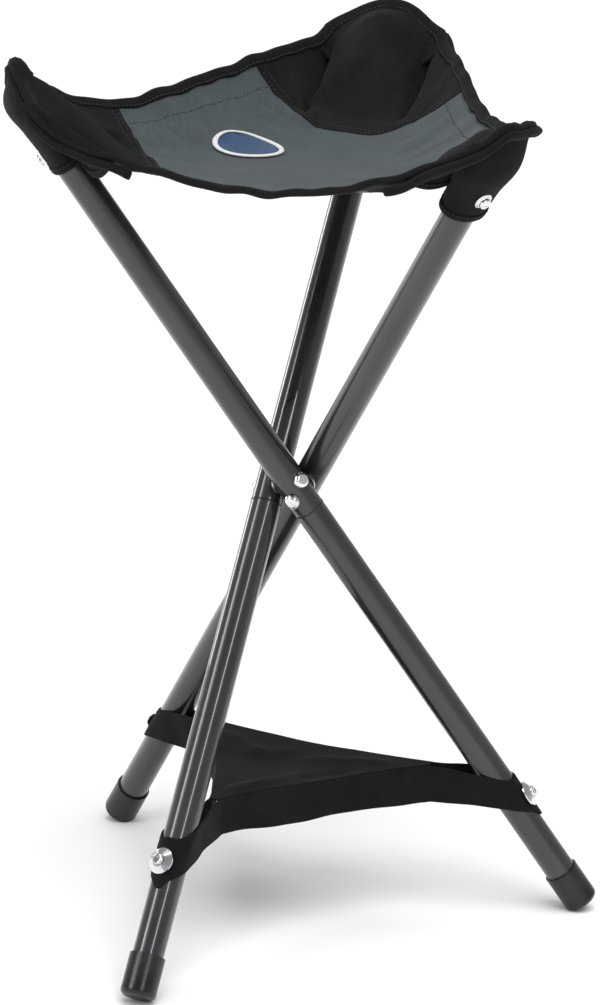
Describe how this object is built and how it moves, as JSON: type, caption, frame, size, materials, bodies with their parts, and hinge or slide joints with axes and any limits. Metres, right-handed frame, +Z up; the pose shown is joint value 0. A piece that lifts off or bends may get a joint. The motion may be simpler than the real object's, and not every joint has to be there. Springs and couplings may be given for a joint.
{
  "type": "three leg stool",
  "caption": "Folding camp stool: crossed tube legs bolted together near mid height, a sewn sling seat over their tops, and a fabric spreader above the foot caps.",
  "frame": {"origin": "on the floor, straight below the point the crossed legs share", "axes": "+Z up, +X towards leg A's foot"},
  "size_m": [0.4363, 0.4001, 0.6363],
  "materials": {
    "leg_tube": "dark charcoal gloss coat on round aluminium tube",
    "ferrule": "plain drawn aluminium",
    "foot_cap": "smooth black moulded rubber",
    "top_plug": "black moulded plastic",
    "hub_bolts": "bright plated steel",
    "hub_washers": "plated steel washer",
    "fabric_screws": "bright plated steel",
    "fabric_washers": "bright plated dished washer",
    "seat_cloth": "slate grey plain-woven polyester",
    "corner_cloth": "black brushed woven polyester",
    "binding": "black woven edge tape",
    "spreader_cloth": "black woven polyester",
    "badge": "plain navy embroidered patch"
  },
  "bodies": {
    "leg_a": {"hub_bolt_ab": "hub_bolts", "hub_bolt_ac": "hub_bolts", "hub_nut_ab": "hub_bolts", "hub_nut_ac": "hub_bolts", "hub_washer_ab": "hub_washers", "hub_washer_ac": "hub_washers", "leg_a_ferrule": "ferrule", "leg_a_foot_cap": "foot_cap", "leg_a_lower_tube": "leg_tube", "leg_a_seat_pocket": "corner_cloth", "leg_a_seat_screw": "fabric_screws", "leg_a_seat_washer": "fabric_washers", "leg_a_spreader_loop": "spreader_cloth", "leg_a_spreader_screw": "fabric_screws", "leg_a_spreader_washer": "fabric_washers", "leg_a_top_plug": "top_plug", "leg_a_upper_tube": "leg_tube", "seat_badge": "badge", "seat_binding_front": "binding", "seat_binding_left": "binding", "seat_binding_right": "binding", "seat_panel": "seat_cloth", "seat_patch_a": "corner_cloth", "seat_patch_b": "corner_cloth", "seat_patch_c": "corner_cloth", "spreader_skirt_ac": "spreader_cloth", "spreader_skirt_ba": "spreader_cloth", "spreader_skirt_cb": "spreader_cloth", "spreader_strap_a": "spreader_cloth", "spreader_web": "spreader_cloth"},
    "leg_b": {"leg_b_ferrule": "ferrule", "leg_b_foot_cap": "foot_cap", "leg_b_lower_tube": "leg_tube", "leg_b_seat_pocket": "corner_cloth", "leg_b_seat_screw": "fabric_screws", "leg_b_seat_washer": "fabric_washers", "leg_b_spreader_loop": "spreader_cloth", "leg_b_spreader_screw": "fabric_screws", "leg_b_spreader_washer": "fabric_washers", "leg_b_top_plug": "top_plug", "leg_b_upper_tube": "leg_tube", "spreader_strap_b": "spreader_cloth"},
    "leg_c": {"leg_c_ferrule": "ferrule", "leg_c_foot_cap": "foot_cap", "leg_c_lower_tube": "leg_tube", "leg_c_seat_pocket": "corner_cloth", "leg_c_seat_screw": "fabric_screws", "leg_c_seat_washer": "fabric_washers", "leg_c_spreader_loop": "spreader_cloth", "leg_c_spreader_screw": "fabric_screws", "leg_c_spreader_washer": "fabric_washers", "leg_c_top_plug": "top_plug", "leg_c_upper_tube": "leg_tube", "spreader_strap_c": "spreader_cloth"}
  },
  "joints": [
    {"name": "fold_b", "type": "hinge", "parent": "leg_a", "child": "leg_b", "pos_m": [-0.00278, -0.01487, 0.32508], "axis": [0.4722, -0.8179, 0.3288], "range_deg": [0, 56], "deforming": ["seat_badge", "seat_binding_front", "seat_binding_left", "seat_binding_right", "seat_panel", "seat_patch_a", "seat_patch_b", "seat_patch_c", "spreader_skirt_ac", "spreader_skirt_ba", "spreader_skirt_cb", "spreader_strap_a", "spreader_web", "spreader_strap_b", "leg_a_seat_pocket", "leg_b_seat_pocket"]},
    {"name": "fold_c", "type": "hinge", "parent": "leg_a", "child": "leg_c", "pos_m": [0.00278, -0.01487, 0.31708], "axis": [-0.4722, -0.8179, -0.3288], "range_deg": [0, 56], "deforming": ["spreader_strap_c", "leg_c_seat_pocket"]}
  ],
  "couplings": [
    {"joint": "fold_c", "follows": "fold_b", "ratio": 1}
  ]
}
